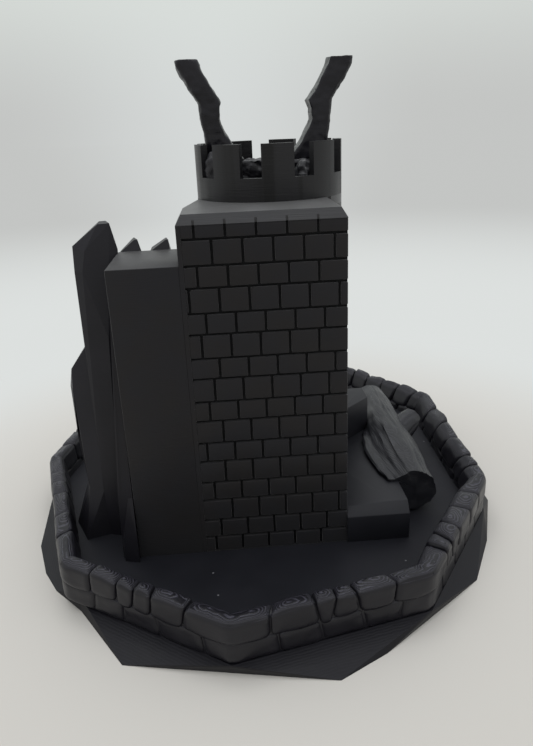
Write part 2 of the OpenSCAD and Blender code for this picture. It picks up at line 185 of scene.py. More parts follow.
def layer_rings_group():
    """Contour lines of stacked layers on a gentle slope: a bead for each layer, and on level faces a mask
    between beads for a painted highlight.
    """
    inputs = [("Layer", 0.0003), ("Waver", 0.0003)]
    group, given, out = new_group("layer_rings", inputs, ["Height", "Ring_highlight"])
    place = group.nodes.new("ShaderNodeTexCoord")
    drift = calc(group, "MULTIPLY", cloud(group, place.outputs["Object"], 300.0), given.outputs["Waver"])
    level = calc(group, "ADD", parts(group, place.outputs["Object"])["Z"], drift)
    phase = calc(group, "FRACT", calc(group, "DIVIDE", level, given.outputs["Layer"]))
    edge = calc(group, "ABSOLUTE", calc(group, "SUBTRACT", calc(group, "MULTIPLY", phase, 2.0), 1.0))
    level_share = span(group, parts(group, place.outputs["Normal"])["Z"], 0.45, 0.75)
    bead = calc(group, "SUBTRACT", 1.0, calc(group, "MULTIPLY", edge, edge))
    height = calc(group, "MULTIPLY", calc(group, "MULTIPLY", bead, given.outputs["Layer"]), level_share)
    # Painted highlight: mask of the layer edges on level faces, where the colour is lightened
    ring_highlight = calc(group, "MULTIPLY", span(group, edge, 0.45, 0.9), level_share)
    group.links.new(height, out.inputs["Height"])
    group.links.new(ring_highlight, out.inputs["Ring_highlight"])
    return group


def print_grain_group():
    """Uneven sheen of the print: cloudy patches, and fine lines along the layers."""
    inputs = [("Patch", 60.0), ("Low", 0.4), ("High", 0.55)]
    group, given, out = new_group("print_grain", inputs, ["Roughness", "Cloud", "Lines"])
    place = group.nodes.new("ShaderNodeTexCoord").outputs["Object"]
    patches = cloud(group, place, given.outputs["Patch"], 3.0)
    lines = cloud(group, stretched(group, place, LINE_SQUEEZE), 90.0, 4.0)
    blend = calc(group, "ADD", calc(group, "MULTIPLY", patches, 0.6), calc(group, "MULTIPLY", lines, 0.4))
    sheen = span(group, blend, 0.35, 0.65, given.outputs["Low"], given.outputs["High"])
    group.links.new(sheen, out.inputs["Roughness"])
    group.links.new(span(group, patches, 0.3, 0.7), out.inputs["Cloud"])
    group.links.new(lines, out.inputs["Lines"])
    return group


def seam_streaks_group():
    """Upright streaks that a print's seams leave on a wall, and one broad seam on the flat back's side."""
    inputs = [("Width", 260.0), ("Seam", 0.0052), ("Half", 0.0016)]
    group, given, out = new_group("seam_streaks", inputs, ["Streak"])
    place = group.nodes.new("ShaderNodeTexCoord")
    drawn = stretched(group, place.outputs["Object"], STREAK_DRAW)
    bands = cloud(group, drawn, given.outputs["Width"], 3.0)
    aside = calc(group, "SUBTRACT", parts(group, place.outputs["Object"])["X"], given.outputs["Seam"])
    aside = calc(group, "ABSOLUTE", aside)
    seam = calc(group, "SUBTRACT", 1.0, span(group, aside, given.outputs["Half"], SEAM_FADE))
    facing_back = span(group, parts(group, place.outputs["Normal"])["Y"], -0.7, -0.9)
    seam = calc(group, "MULTIPLY", seam, facing_back)
    streak = calc(group, "MULTIPLY", span(group, bands, 0.45, 0.68), 0.7)
    group.links.new(calc(group, "MAXIMUM", seam, streak), out.inputs["Streak"])
    return group


def dust_specks_group():
    """A few pale specks of dust on level faces."""
    group, given, out = new_group("dust_specks", [("Spread", 24.0), ("Speck", 0.012)], ["Dust"])
    place = group.nodes.new("ShaderNodeTexCoord")
    grit = group.nodes.new("ShaderNodeTexVoronoi")
    grit.voronoi_dimensions = "2D"
    group.links.new(place.outputs["Object"], grit.inputs["Vector"])
    group.links.new(given.outputs["Spread"], grit.inputs["Scale"])
    speck = span(group, grit.outputs["Distance"], given.outputs["Speck"], SPECK_CORE)
    facing_up = span(group, parts(group, place.outputs["Normal"])["Z"], 0.9, 0.98)
    group.links.new(calc(group, "MULTIPLY", speck, facing_up), out.inputs["Dust"])
    return group


LAYER_RINGS = layer_rings_group()
PRINT_GRAIN = print_grain_group()
SEAM_STREAKS = seam_streaks_group()
DUST_SPECKS = dust_specks_group()


# Finishes

LINE_HEIGHT = 0.0004
# Rings and streaks as multiples of the finish's own tones; the rings' paler tone is a painted highlight on
# the layer edges of level faces
RING_HIGHLIGHT_TINT = 4.5
STREAK_TINT = 0.15
STREAK_ROUGHENS = 0.2
DUST_TONE = (0.2, 0.2, 0.21)


def effect(tree, group):
    node = tree.nodes.new("ShaderNodeGroup")
    node.node_tree = group
    return node


def black_print(name, warm, cool, sheen, rough, line_depth, layer=0.0, ring_depth=0.0, ring_highlight=0.0,
                streaks=False, specks=False, bloom=0.0):
    """Black filament print: warm and cool are the ends of its faint clouding, layer its step height."""
    finish = bpy.data.materials.new(name)
    finish.use_nodes = True
    tree = finish.node_tree
    shader = tree.nodes["Principled BSDF"]
    shader.inputs["Specular IOR Level"].default_value = sheen
    shader.inputs["Sheen Weight"].default_value = bloom
    grain = effect(tree, PRINT_GRAIN)
    grain.inputs["Low"].default_value = rough[0]
    grain.inputs["High"].default_value = rough[1]
    colour = tint(tree, grain.outputs["Cloud"], warm, cool)
    roughness = grain.outputs["Roughness"]
    surface = bump(tree, grain.outputs["Lines"], line_depth, LINE_HEIGHT)
    if layer:
        rings = effect(tree, LAYER_RINGS)
        rings.inputs["Layer"].default_value = layer
        # Painted highlight: the colour is lightened along the layer rings on level faces
        share = calc(tree, "MULTIPLY", rings.outputs["Ring_highlight"], ring_highlight)
        colour = tint(tree, share, colour, tuple(RING_HIGHLIGHT_TINT * c for c in cool))
        surface = bump(tree, rings.outputs["Height"], ring_depth, 1.0, surface)
    if streaks:
        seams = effect(tree, SEAM_STREAKS)
        colour = tint(tree, seams.outputs["Streak"], colour, tuple(STREAK_TINT * c for c in warm))
        rougher = calc(tree, "MULTIPLY", seams.outputs["Streak"], STREAK_ROUGHENS)
        roughness = calc(tree, "ADD", roughness, rougher)
    if specks:
        colour = tint(tree, effect(tree, DUST_SPECKS).outputs["Dust"], colour, DUST_TONE)
    tree.links.new(colour, shader.inputs["Base Color"])
    tree.links.new(roughness, shader.inputs["Roughness"])
    tree.links.new(surface, shader.inputs["Normal"])
    return finish


TOWER_FINISH = black_print(
    "tower_print", warm=(0.0122, 0.011, 0.0115), cool=(0.0114, 0.0112, 0.0135),
    sheen=0.17, rough=(0.40, 0.50), line_depth=0.2, bloom=0.2)
TURRET_FINISH = black_print(
    "turret_print", warm=(0.007, 0.0067, 0.0079), cool=(0.008, 0.0079, 0.0098),
    sheen=0.4, rough=(0.30, 0.40), line_depth=0.2, streaks=True)
SLAB_FINISH = black_print(
    "slab_print", warm=(0.0115, 0.011, 0.0125), cool=(0.0125, 0.0125, 0.0155),
    sheen=0.6, rough=(0.38, 0.48), line_depth=0.2, bloom=0.2)
# Painted shade: a darker copy of the black print for the joints' backing, where shade falls between the
# bricks
JOINT_SHADE_FINISH = black_print(
    "joint_painted_shade", warm=(0.0045, 0.0045, 0.005), cool=(0.005, 0.005, 0.006),
    sheen=0.2, rough=(0.7, 0.8), line_depth=0.0)
POST_FINISH = black_print(
    "post_print", warm=(0.007, 0.0068, 0.0094), cool=(0.0122, 0.0118, 0.0154),
    sheen=0.28, rough=(0.24, 0.36), line_depth=0.15)
# Painted light: a paler copy of the black print for the saddle, lit in colour though it sits in the drum's
# shade
SADDLE_PAINTED_LIGHT_FINISH = black_print(
    "saddle_painted_light", warm=(0.011, 0.0108, 0.0132), cool=(0.02, 0.0198, 0.0236),
    sheen=0.4, rough=(0.30, 0.42), line_depth=0.15)
FLOOR_FINISH = black_print(
    "floor_print", warm=(0.0128, 0.0131, 0.0168), cool=(0.015, 0.0153, 0.0195),
    sheen=0.18, rough=(0.50, 0.58), line_depth=0.05, specks=True)
PLATFORM_FINISH = black_print(
    "platform_print", warm=(0.0115, 0.0118, 0.0152), cool=(0.0137, 0.014, 0.018),
    sheen=0.3, rough=(0.44, 0.52), line_depth=0.05, specks=True)
STONE_FINISH = black_print(
    "stone_print", warm=(0.0098, 0.0094, 0.0124), cool=(0.0121, 0.0117, 0.0153),
    sheen=0.32, rough=(0.30, 0.40), line_depth=0.1, layer=0.00026, ring_depth=0.5, ring_highlight=0.95)
SKIRT_FINISH = black_print(
    "skirt_print", warm=(0.0062, 0.0059, 0.0083), cool=(0.008, 0.0077, 0.0106),
    sheen=0.24, rough=(0.38, 0.48), line_depth=0.1, layer=0.0003, ring_depth=0.08, ring_highlight=0.12)
ROCK_FINISH = black_print(
    "rock_print", warm=(0.0098, 0.0094, 0.0124), cool=(0.0128, 0.0123, 0.0159),
    sheen=0.27, rough=(0.34, 0.44), line_depth=0.15, layer=0.00028, ring_depth=0.2, ring_highlight=0.25)
WOOD_FINISH = black_print(
    "wood_print", warm=(0.0108, 0.0111, 0.014), cool=(0.0146, 0.0149, 0.0184),
    sheen=0.38, rough=(0.36, 0.44), line_depth=0.45, layer=0.00028, ring_depth=0.25, ring_highlight=0.2)


# Making pieces

MERGE = 1e-6


def new_piece(name, shape, finish, slot, *stands_for):
    """A piece of the object: shaped in place, riding on the body, standing for the solids named."""
    mesh = bpy.data.meshes.new(name)
    bm = bmesh.new()
    shape(bm)
    bm.to_mesh(mesh)
    bm.free()
    piece = bpy.data.objects.new(name, mesh)
    bpy.context.scene.collection.objects.link(piece)
    mesh.materials.append(finish)
    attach(piece, "root")
    if stands_for:
        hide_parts(*stands_for)
    return piece


def shade(piece, angle):
    """Smooth faces, with edges sharper than the angle kept crisp."""
    mesh = piece.data
    mesh.polygons.foreach_set("use_smooth", [True] * len(mesh.polygons))
    mesh.set_sharp_from_angle(angle=math.radians(angle))


def take_solid(bm, node):
    """A merged copy of a solid, with flat faces joined up."""
    bm.from_mesh(nodes[node].data)
    bmesh.ops.remove_doubles(bm, verts=bm.verts, dist=MERGE)
    bmesh.ops.dissolve_limit(bm, angle_limit=math.radians(0.5), verts=bm.verts, edges=bm.edges)


def cut_long_edges(bm, longest, passes):
    for _ in range(passes):
        edges = [e for e in bm.edges if e.calc_length() > longest * MM]
        if not edges:
            return
        bmesh.ops.subdivide_edges(bm, edges=edges, cuts=1)
        bmesh.ops.triangulate(bm, faces=bm.faces)


def folds(bm, low, high=360.0):
    """Edges whose two faces turn by an angle between low and high, in degrees."""
    shared = [e for e in bm.edges if len(e.link_faces) == 2]
    return [e for e in shared if math.radians(low) < e.calc_face_angle() < math.radians(high)]


def ease_edges(bm, edges, size, segments=2, clamp=True):
    bmesh.ops.bevel(bm, geom=edges, offset=size * MM, offset_type="OFFSET", segments=segments, profile=0.5,
                    affect="EDGES", clamp_overlap=clamp, material=-1)


# Dry-stone wall

WALL_CORNERS = [(-20, -58), (54, -40), (97.4, 22.5), (100, 119), (63, 172), (-20, 187), (-90, 148),
                (-107, 71), (-83, -17)]
WALL_T = 7.6
WALL_TOP = 12.8
WALL_BED = 3.4
WALL_FOOT = -4.5
# Run by run: how far the caps reach inwards, how round their inner side is, reach of the low stones past
# the caps, and the slope of the outer side
CAP_LEAN = [0, 3, 1.2, 0.5, 0, 0, 0, 0, 0]
INNER_ROUND = [0, 0.01, 0.038, 0.03, 0, 0, 0, 0, 0]
LEDGE = [0, 0, 1.2, 1.0, 0.3, 0, 0, 0, 0]
OUTER_SLOPE = [0, 0, 0, 0, 0, 0, 0.03, 0.07, 0]
INNER_SLOPE = 0.2
# Reach of the rounding at each corner
CORNER_ROUND = [2.4, 3.5, 5, 5, 5, 5, 5, 5, 3.5]
# Share of a run's length over which it eases into the next
CORNER_EASE = 0.2

# Stone lengths along a run, as shares: of most runs, then of the first and the last, by the flat back
CAP_SHARES = [1.3, 1.2, 0.7, 0.7, 1.25, 1.1]
LOW_SHARES = [1.2, 1.45, 1.0, 1.35, 1.15]
FIRST_CAPS = [1.3, 1.4, 0.6, 0.75, 1.25, 1.35]
FIRST_LOWS = [1.05, 0.95, 1.0, 0.9, 0.75]
LAST_CAPS = [1.2, 1.15, 0.68, 0.7, 1.4, 1.6]
LAST_LOWS = [1.0, 0.95, 1.05, 1.3, 0.75]

# Least and most rise of a cap's top, drop of its bed and belly of its outer side
CAP_RISE = (-0.7, 0.0)
CAP_DROP = (-0.4, 0.5)
CAP_BELLY = (0.4, 0.8)
# The same three for the caps that meet at a corner
CORNER_CAP = (-0.7, 0.1, 0.6)
CAP_BACK = 0.1
LOW_BELLY = (0.0, 0.3)
CORNER_LOW_BELLY = 0.1
LOW_INSET = 0.5
LOW_SUNK = 0.3
LOW_LAP = 0.6

# Skin of the stones: broad lumps and small ones, each with its height and the closeness of its waves
LUMP_H = 0.3
LUMP_WAVE = 0.13
PIT_H = 0.16
PIT_WAVE = 0.4
TOP_TILT = 1.6
TOP_SKEW = 1.2
LEAST_CORE = 0.2
STONE_SEAM = 0.08
BLANK_CUTS = 11
BLANK_CROWDING = 1.5
WALL_SEED = 40
RUN_SEEDS = 20
LOW_SEEDS = 10

# Heart of a run: shares of its length with the depth of the heart there, and the height of its top
HEART_SKIN = ((0.0, 1.0), (0.12, 0.65), (0.88, 0.65), (1.0, 1.0))
HEART_TOP = 11.2
HEART_INSET = 2.2
HEART_LEAN = 0.6
HEART_DRAWN = 60.0
HEART_EDGE = 1.0
HEART_SHOULDER = 0.9


class Course:
    """What the stones of a course share: edge sizes, crown, sag, slant of joints, reach inwards."""

    def __init__(self, edges, crown, sag, lean, swing, reach):
        self.edges = edges
        self.crown = crown
        self.sag = sag
        self.lean = lean
        self.swing = swing
        self.reach = reach


CAPS = Course(edges=(1.5, 1.7, 1.8), crown=1.1, sag=0.9, lean=0.2, swing=0.25, reach=CAP_LEAN)
LOWS = Course(edges=(1.9, 1.2, 1.9), crown=0.2, sag=0.0, lean=0.3, swing=0.0, reach=LEDGE)


def eased(values, i, share):
    """A run's own value along most of it, easing into its neighbours' at the corners."""
    first = (values[i - 1] - values[i]) / 2 * (1.0 - smooth_step(share, 0.0, CORNER_EASE))
    last = (values[(i + 1) % len(values)] - values[i]) / 2 * smooth_step(share, 1.0 - CORNER_EASE, 1.0)
    return values[i] + first + last


def corner(i):
    return Vector(WALL_CORNERS[i % len(WALL_CORNERS)])


class Run:
    """One straight run of the wall, with mitred ends."""

    def __init__(self, i):
        self.number = i
        self.start = corner(i)
        step = corner(i + 1) - corner(i)
        self.length = step.length
        self.along = step.normalized()
        self.inwards = Vector((-self.along.y, self.along.x))
        before = corner(i) - corner(i - 1)
        after = corner(i + 2) - corner(i + 1)
        self.turn_start = before.angle(step) / 2
        self.turn_end = step.angle(after) / 2
        self.mitre_start = math.tan(self.turn_start)
        self.mitre_end = math.tan(self.turn_end)
        self.round_start = CORNER_ROUND[i]
        self.round_end = CORNER_ROUND[(i + 1) % len(CORNER_ROUND)]

    def rounding(self, share):
        """How far the outer side draws back to round off the corners."""
        total = 0.0
        start = (share, self.turn_start, self.round_start)
        end = (1.0 - share, self.turn_end, self.round_end)
        for far, turn, most in (start, end):
            reach = max(0.0, most - far * self.length)
            radius = most / math.sin(turn)
            total += radius - math.sqrt(radius * radius - reach * reach)
        return total

    def place(self, share, depth, z):
        """A place on the run: share of its length, depth inwards from its outer line, height."""
        first = depth * self.mitre_start
        last = self.length - depth * self.mitre_end
        p = self.start + self.along * (first + (last - first) * share) + self.inwards * depth
        return at(p.x, p.y, z)


class Joint:
    """Joint between two stones: share of the run's length, lean with height and swing with depth."""

    def __init__(self, share, lean=0.0, swing=0.0):
        self.share = share
        self.lean = lean
        self.swing = swing

    def share_at(self, run, depth, z, middle):
        return self.share + (self.lean * (z - middle) + self.swing * (depth - WALL_T / 2)) / run.length


def stone_blank():
    """A finely divided cube, closest at its edges: the blank that every stone is shaped from."""
    blank = bpy.data.meshes.new("stone_blank")
    bm = bmesh.new()
    bmesh.ops.create_cube(bm, size=2.0)
    bmesh.ops.subdivide_edges(bm, edges=bm.edges, cuts=BLANK_CUTS, use_grid_fill=True)
    for v in bm.verts:
        v.co = [math.copysign(1.0 - (1.0 - min(1.0, abs(c))) ** BLANK_CROWDING, c) for c in v.co]
    bm.to_mesh(blank)
    bm.free()
    return blank


STONE_BLANK = stone_blank()


def worn_place(c, half, edges, shift, mitred, fade):
    """Place on a stone for one on the blank: edges rounded, skin lumpy except by a mitre."""
    p = Vector([a * h for a, h in zip(c, half)])
    core = [max(LEAST_CORE, h - e) for h, e in zip(half, edges)]
    inner = Vector([max(-k, min(k, a)) for a, k in zip(p, core)])
    outwards = Vector([(a - b) / e for a, b, e in zip(p, inner, edges)])
    lump = LUMP_H * noise.noise(p * LUMP_WAVE + shift) + PIT_H * noise.noise(p * PIT_WAVE + shift)
    lump *= fade
    if mitred:
        outwards.x = 0.0
    if outwards.length > 1.0:
        outwards.normalize()
    p = inner + Vector([o * (e + lump) for o, e in zip(outwards, edges)])
    if mitred:
        p.x = c.x * half.x
    return p


def wall_place(run, course, share, depths, depth, z, outer):
    """Place in the wall: inner side leaning, outer side sloping, corners rounded."""
    up = z - WALL_BED
    reach = eased(course.reach, run.number, share) - INNER_SLOPE * up
    reach -= eased(INNER_ROUND, run.number, share) * max(0.0, up) ** 2
    depth += (depth - depths[0]) * reach / (depths[1] - depths[0])
    depth += outer * (run.rounding(share) - eased(OUTER_SLOPE, run.number, share) * (WALL_TOP - z))
    return run.place(share, depth, z)


def stone(bm, run, course, left, right, depths, heights, seed):
    """One stone between two joints: a crowned, tilted top, a sagging bed and a worn skin."""
    before = set(bm.verts)
    bm.from_mesh(STONE_BLANK)
    verts = [v for v in bm.verts if v not in before]
    middle = (heights[0] + heights[1]) / 2
    length = run.length * (right.share - left.share)
    half = Vector((length, depths[1] - depths[0], heights[1] - heights[0])) / 2
    shift = Vector((3.1, 1.7, 0.9)) * seed
    jointed = (left.share > 0.0, right.share < 1.0)
    tilt = TOP_TILT * noise.noise(shift + Vector((0.5, 0.5, 0.5))) if all(jointed) else 0.0
    skew = TOP_SKEW * noise.noise_vector(shift + Vector((0.3, 0.8, 0.1)))
    if not all(jointed):
        skew.x = 0.0
    seam = STONE_SEAM / run.length
    for v in verts:
        c = v.co.copy()
        mitred = not jointed[c.x > 0.0]
        fade = smooth_step(1.0 - abs(c.x), 0.0, 0.5) if mitred else 1.0
        p = worn_place(c, half, course.edges, shift, mitred, fade)
        if c.z > 0.0:
            across = [a + fade * s * (1.0 - a * a) for a, s in zip(c, skew)]
            lengthwise = 1.0 if mitred else 1.0 - across[0] ** 2
            p.z += course.crown * lengthwise * (1.0 - across[1] ** 2) + tilt * c.x
        else:
            p.z -= course.sag * (1.0 - c.x * c.x) * -c.z
        z = middle + p.z
        depth = (depths[0] + depths[1]) / 2 - p.y
        first = left.share_at(run, depth, z, middle) + seam * jointed[0]
        last = right.share_at(run, depth, z, middle) - seam * jointed[1]
        share = first + (last - first) * (p.x / half.x + 1.0) / 2
        v.co = wall_place(run, course, share, depths, depth, z, max(0.0, c.y))


def wall_heart(bm, run):
    """Plain heart of a run, a little behind the skin of its stones and further back at the corners."""
    inner = WALL_T - HEART_INSET + HEART_LEAN * CAP_LEAN[run.number] - HEART_DRAWN * INNER_ROUND[run.number]
    rings = []
    for share, skin in HEART_SKIN:
        profile = [(skin, WALL_FOOT), (WALL_T, WALL_FOOT), (WALL_T, 0.0), (WALL_T - HEART_EDGE, HEART_EDGE)]
        profile += [(inner, HEART_TOP), (skin + HEART_SHOULDER, HEART_TOP), (skin, HEART_TOP - HEART_EDGE)]
        rings.append([bm.verts.new(run.place(share, depth, z)) for depth, z in profile])
    edges = [bm.edges.new(pair) for ring in rings for pair in zip(ring, ring[1:] + ring[:1])]
    bmesh.ops.bridge_loops(bm, edges=edges)
    for ring in (rings[0], rings[-1]):
        bm.faces.new(ring)
    bmesh.ops.recalc_face_normals(bm, faces=bm.faces)


def joints_from(shares, chance, course):
    """The joints of a course, leaning and swinging by chance, with plain ones at the mitres."""
    total = sum(shares)
    done = 0.0
    joints = [Joint(0.0)]
    for share in shares[:-1]:
        done += share / total
        lean = chance.uniform(-course.lean, course.lean)
        swing = chance.uniform(-course.swing, course.swing)
        joints.append(Joint(done, lean, swing))
    joints.append(Joint(1.0))
    return joints


def turned(values, by):
    by %= len(values)
    return values[by:] + values[:by]


def wall_run(i):
    """The two courses of a run, laid on its heart."""
    run = Run(i)
    chance = random.Random(WALL_SEED + i)
    caps = turned(CAP_SHARES, i)
    lows = turned(LOW_SHARES, 2 * i)
    if i == 0:
        caps, lows = FIRST_CAPS, FIRST_LOWS
    if i == len(WALL_CORNERS) - 1:
        caps, lows = LAST_CAPS, LAST_LOWS

    def shape(bm):
        wall_heart(bm, run)
        joints = joints_from(caps, chance, CAPS)
        for k, (left, right) in enumerate(zip(joints, joints[1:])):
            rise = chance.uniform(*CAP_RISE)
            drop = chance.uniform(*CAP_DROP)
            belly = chance.uniform(*CAP_BELLY)
            if k in (0, len(caps) - 1):
                rise, drop, belly = CORNER_CAP
            depths = (-belly, WALL_T + CAP_BACK)
            heights = (WALL_BED + drop, WALL_TOP + rise)
            stone(bm, run, CAPS, left, right, depths, heights, i * RUN_SEEDS + k)
        joints = joints_from(lows, chance, LOWS)
        for k, (left, right) in enumerate(zip(joints, joints[1:])):
            belly = chance.uniform(*LOW_BELLY)
            if k in (0, len(lows) - 1):
                belly = CORNER_LOW_BELLY
            depths = (-belly, WALL_T - LOW_INSET)
            heights = (WALL_FOOT - LOW_SUNK, WALL_BED + LOW_LAP)
            stone(bm, run, LOWS, left, right, depths, heights, i * RUN_SEEDS + k + LOW_SEEDS)

    piece = new_piece("wall_stones_%d" % (i + 1), shape, STONE_FINISH, "stone", "wall_side_%d" % (i + 1))
    shade(piece, 55)


for side in range(len(WALL_CORNERS)):
    wall_run(side)


# Brick back of the tower

TOWER_W = 60.0
FACE_H = 132.8
COURSE_TALL = 9.3
COURSE_SHORT = 8.0
TOP_COURSE = 4.9
BRICK_PITCH = 10.85
JOINT_W = 1.05
JOINT_D = 1.4
SHEET_T = 1.6
PLAIN_MARGIN = 1.6
BRICK_EDGE = 0.3
BRICK_SUNK = 0.1
# Edges nearer than this to the flat back are a brick's front ones
BRICK_FRONT = 0.8
# Least and most that a brick stands proud, what the first of a course does, and the most that one tilts
BRICK_PROUD = (-0.12, -0.02)
FIRST_PROUD = -0.02
BRICK_TILT = 0.008
BRICK_SEED = 7
# Place of one upright joint in each course, from the top
BOND = [-2.2, 3.6, -2.0, 5.3, -0.1, -2.3, 3.7, 1.3, -1.2, 3.4, -3.4, 3.2, -1.7, 4.9, -0.1, -2.6]


def block(bm, low, high):
    """A plain block between two corners, in millimetres from the tower's flat back."""
    verts = bmesh.ops.create_cube(bm, size=1.0)["verts"]
    low, high = at(*low), at(*high)
    bmesh.ops.scale(bm, verts=verts, vec=high - low)
    bmesh.ops.translate(bm, verts=verts, vec=(low + high) / 2)
    return verts


def brick(bm, x0, x1, z0, z1, proud, tilt):
    verts = block(bm, (x0, -proud, z0), (x1, JOINT_D + BRICK_SUNK, z1))
    middle = at((x0 + x1) / 2, 0, (z0 + z1) / 2)
    bmesh.ops.rotate(bm, verts=verts, cent=middle, matrix=Matrix.Rotation(tilt, 3, "X"))
    edges = {e for v in verts for e in v.link_edges}
    front = [e for e in edges if any(v.co.y < at(0, BRICK_FRONT, 0).y for v in e.verts)]
    ease_edges(bm, front, BRICK_EDGE, segments=3, clamp=False)


def brick_back(bm):
    """Tall and short courses in bond, on a backing that shows in the joints in a darker finish: painted
    shade.
    """
    chance = random.Random(BRICK_SEED)
    left = -TOWER_W / 2
    backing = block(bm, (left, JOINT_D, 0), (-left, SHEET_T, FACE_H))
    # Painted shade: the backing takes the darker second finish
    for face in {f for v in backing for f in v.link_faces}:
        face.material_index = 1
    block(bm, (left, 0, 0), (left + PLAIN_MARGIN, JOINT_D + BRICK_SUNK, FACE_H))
    top = FACE_H
    for k, first in enumerate(BOND):
        lowest = k == len(BOND) - 1
        high = TOP_COURSE if k == 0 else COURSE_TALL if k % 2 else COURSE_SHORT
        low = 0.0 if lowest else top - high
        cuts = [first + n * BRICK_PITCH for n in range(-3, 4)]
        cuts = [x for x in cuts if left + PLAIN_MARGIN + JOINT_W < x < -left - 2 * JOINT_W]
        ends = [left + JOINT_W] + cuts + [-left + JOINT_W / 2]
        upper = top if k == 0 else top - JOINT_W / 2
        lower = low if lowest else low + JOINT_W / 2
        for x0, x1 in zip(ends, ends[1:]):
            proud = FIRST_PROUD if x0 == ends[0] else chance.uniform(*BRICK_PROUD)
            tilt = 0.0 if x0 == ends[0] else chance.uniform(-BRICK_TILT, BRICK_TILT)
            brick(bm, x0 + JOINT_W / 2, x1 - JOINT_W / 2, lower, upper, proud, tilt)
        top = low


bricks = new_piece("brick_courses", brick_back, TOWER_FINISH, "tower", "brick_face")
# Painted shade: the darker finish of the joints' backing
bricks.data.materials.append(JOINT_SHADE_FINISH)
shade(bricks, 35)


# Rock: cleft faces with slightly broken edges

ROCK_FACET = 40.0
ROCK_ROUGH = 0.9
ROCK_WAVE = 0.06
ROCK_SHIFT = Vector((5.0, 2.0, 8.0))
ROCK_EDGE = 0.3
ANNEX_LEFT = -55.8
ANNEX_DEPTH = 36.3
SPIRE_LEFT = ANNEX_LEFT - 17.2
# Corners of the solids that are moved to sharpen the tips: where each is, and by how much it moves
NEAR_CORNER = 0.5
SPIRE_MOVES = (
    ((SPIRE_LEFT, 36.0, 120.4), (-0.8, 0.0, 1.6)),
    ((SPIRE_LEFT, 45.0, 120.4), (-0.8, 0.0, 1.6)),
    ((-57.0, 34.5, 120.4), (1.2, 0.0, 0.0)),
    ((-57.0, 45.0, 120.4), (-2.0, 0.0, 0.0)),
    ((-62.0, 36.0, 129.4), (-1.0, 0.0, 1.0)),
    ((-62.0, 42.0, 129.4), (-1.0, 0.0, 1.0)),
    ((-58.8, 36.0, 129.4), (0.4, 0.0, 1.0)),
    ((-58.8, 42.0, 129.4), (-1.6, 0.0, 1.0)))
BACK_LEFT_MOVES = (
    ((ANNEX_LEFT, ANNEX_DEPTH + 10, 117.0), (0.0, 0.0, 1.3)),
    ((ANNEX_LEFT, ANNEX_DEPTH, 117.0), (0.0, 0.0, 1.3)),
    ((-47.2, ANNEX_DEPTH, 117.0), (1.0, 0.0, 0.0)),
    ((-47.2, ANNEX_DEPTH + 11, 117.0), (-2.3, 0.0, 0.0)),
    ((-51.8, ANNEX_DEPTH + 8, 121.5), (1.6, 0.0, 1.5)),
    ((-51.8, ANNEX_DEPTH + 3, 121.5), (2.2, 0.0, 1.5)),
    ((-48.8, ANNEX_DEPTH + 3, 121.5), (0.5, 0.0, 1.5)),
    ((-48.8, ANNEX_DEPTH + 8, 121.5), (-1.0, 0.0, 1.5)))
BACK_RIGHT_MOVES = (
    ((-43.4, ANNEX_DEPTH + 9, 117.0), (0.0, 0.0, 1.3)),
    ((-43.4, ANNEX_DEPTH, 117.0), (0.0, 0.0, 1.3)),
    ((-38.4, ANNEX_DEPTH + 7, 120.8), (0.9, 0.0, 1.6)),
    ((-38.4, ANNEX_DEPTH + 3, 120.8), (1.3, 0.0, 1.6)),
    ((-36.8, ANNEX_DEPTH + 3, 120.8), (0.6, 0.0, 1.6)),
    ((-36.8, ANNEX_DEPTH + 7, 120.8), (-0.2, 0.0, 1.6)))


def cleft_rock(name, node, moves=()):
    """A cleft copy of a rock, with some of its corners moved."""
    def shape(bm):
        take_solid(bm, node)
        for spot, move in moves:
            for v in bm.verts:
                if (from_tower(v.co) - Vector(spot)).length < NEAR_CORNER:
                    v.co += Vector(move) * MM
        bmesh.ops.triangulate(bm, faces=bm.faces)
        cut_long_edges(bm, ROCK_FACET, 3)
        for v in bm.verts:
            p = from_tower(v.co)
            if p.z > 1.0:
                v.co += noise.noise_vector(p * ROCK_WAVE + ROCK_SHIFT) * ROCK_ROUGH * MM
        bmesh.ops.dissolve_limit(bm, angle_limit=math.radians(3.0), verts=bm.verts, edges=bm.edges)
        ease_edges(bm, folds(bm, 20), ROCK_EDGE)
    piece = new_piece(name, shape, ROCK_FINISH, "rock", node)
    shade(piece, 8)


cleft_rock("spire_rock", "crag_spire", SPIRE_MOVES)
cleft_rock("shard_rock", "crag_shard")
cleft_rock("back_left_rock", "crag_back_left", BACK_LEFT_MOVES)
cleft_rock("back_right_rock", "crag_back_right", BACK_RIGHT_MOVES)
cleft_rock("foot_rock", "crag_foot")


# Posts and the saddle that carries them

POST_TOP = cad_box[1][2] - 0.0001
# Share of a post's width and depth that is squared off, and how far in its new edge stays
SQUARED = 0.4
EDGE_INSET_X = 0.06
EDGE_INSET_Y = 0.04
SIDE_PROUD = 0.5
KNOB_WAVE = 0.2
KNOT_WAVE = 0.5
# Middle and half sizes of the boulders on the saddle
SADDLE_BOULDERS = [((-14.8, 46.0, 147.0), (4.5, 4.5, 8.0)), ((20.0, 42.0, 145.0), (3.5, 8.0, 6.0))]


def square_left(bm):
    """Square off a post's left edge on the flat back's side, ring by ring."""
    rings = {}
    for v in bm.verts:
        rings.setdefault(round(v.co.z / MM, 1), []).append(v)
    for ring in rings.values():
        left = min(v.co.x for v in ring)
        right = max(v.co.x for v in ring)
        front = min(v.co.y for v in ring)
        back = max(v.co.y for v in ring)
        for v in ring:
            if v.co.x > between(left, right, SQUARED):
                continue
            if v.co.y < between(front, back, SQUARED):
                v.co.x = min(v.co.x, between(left, right, EDGE_INSET_X))
                v.co.y = min(v.co.y, between(front, back, EDGE_INSET_Y))
            else:
                v.co.x = left - SIDE_PROUD * MM


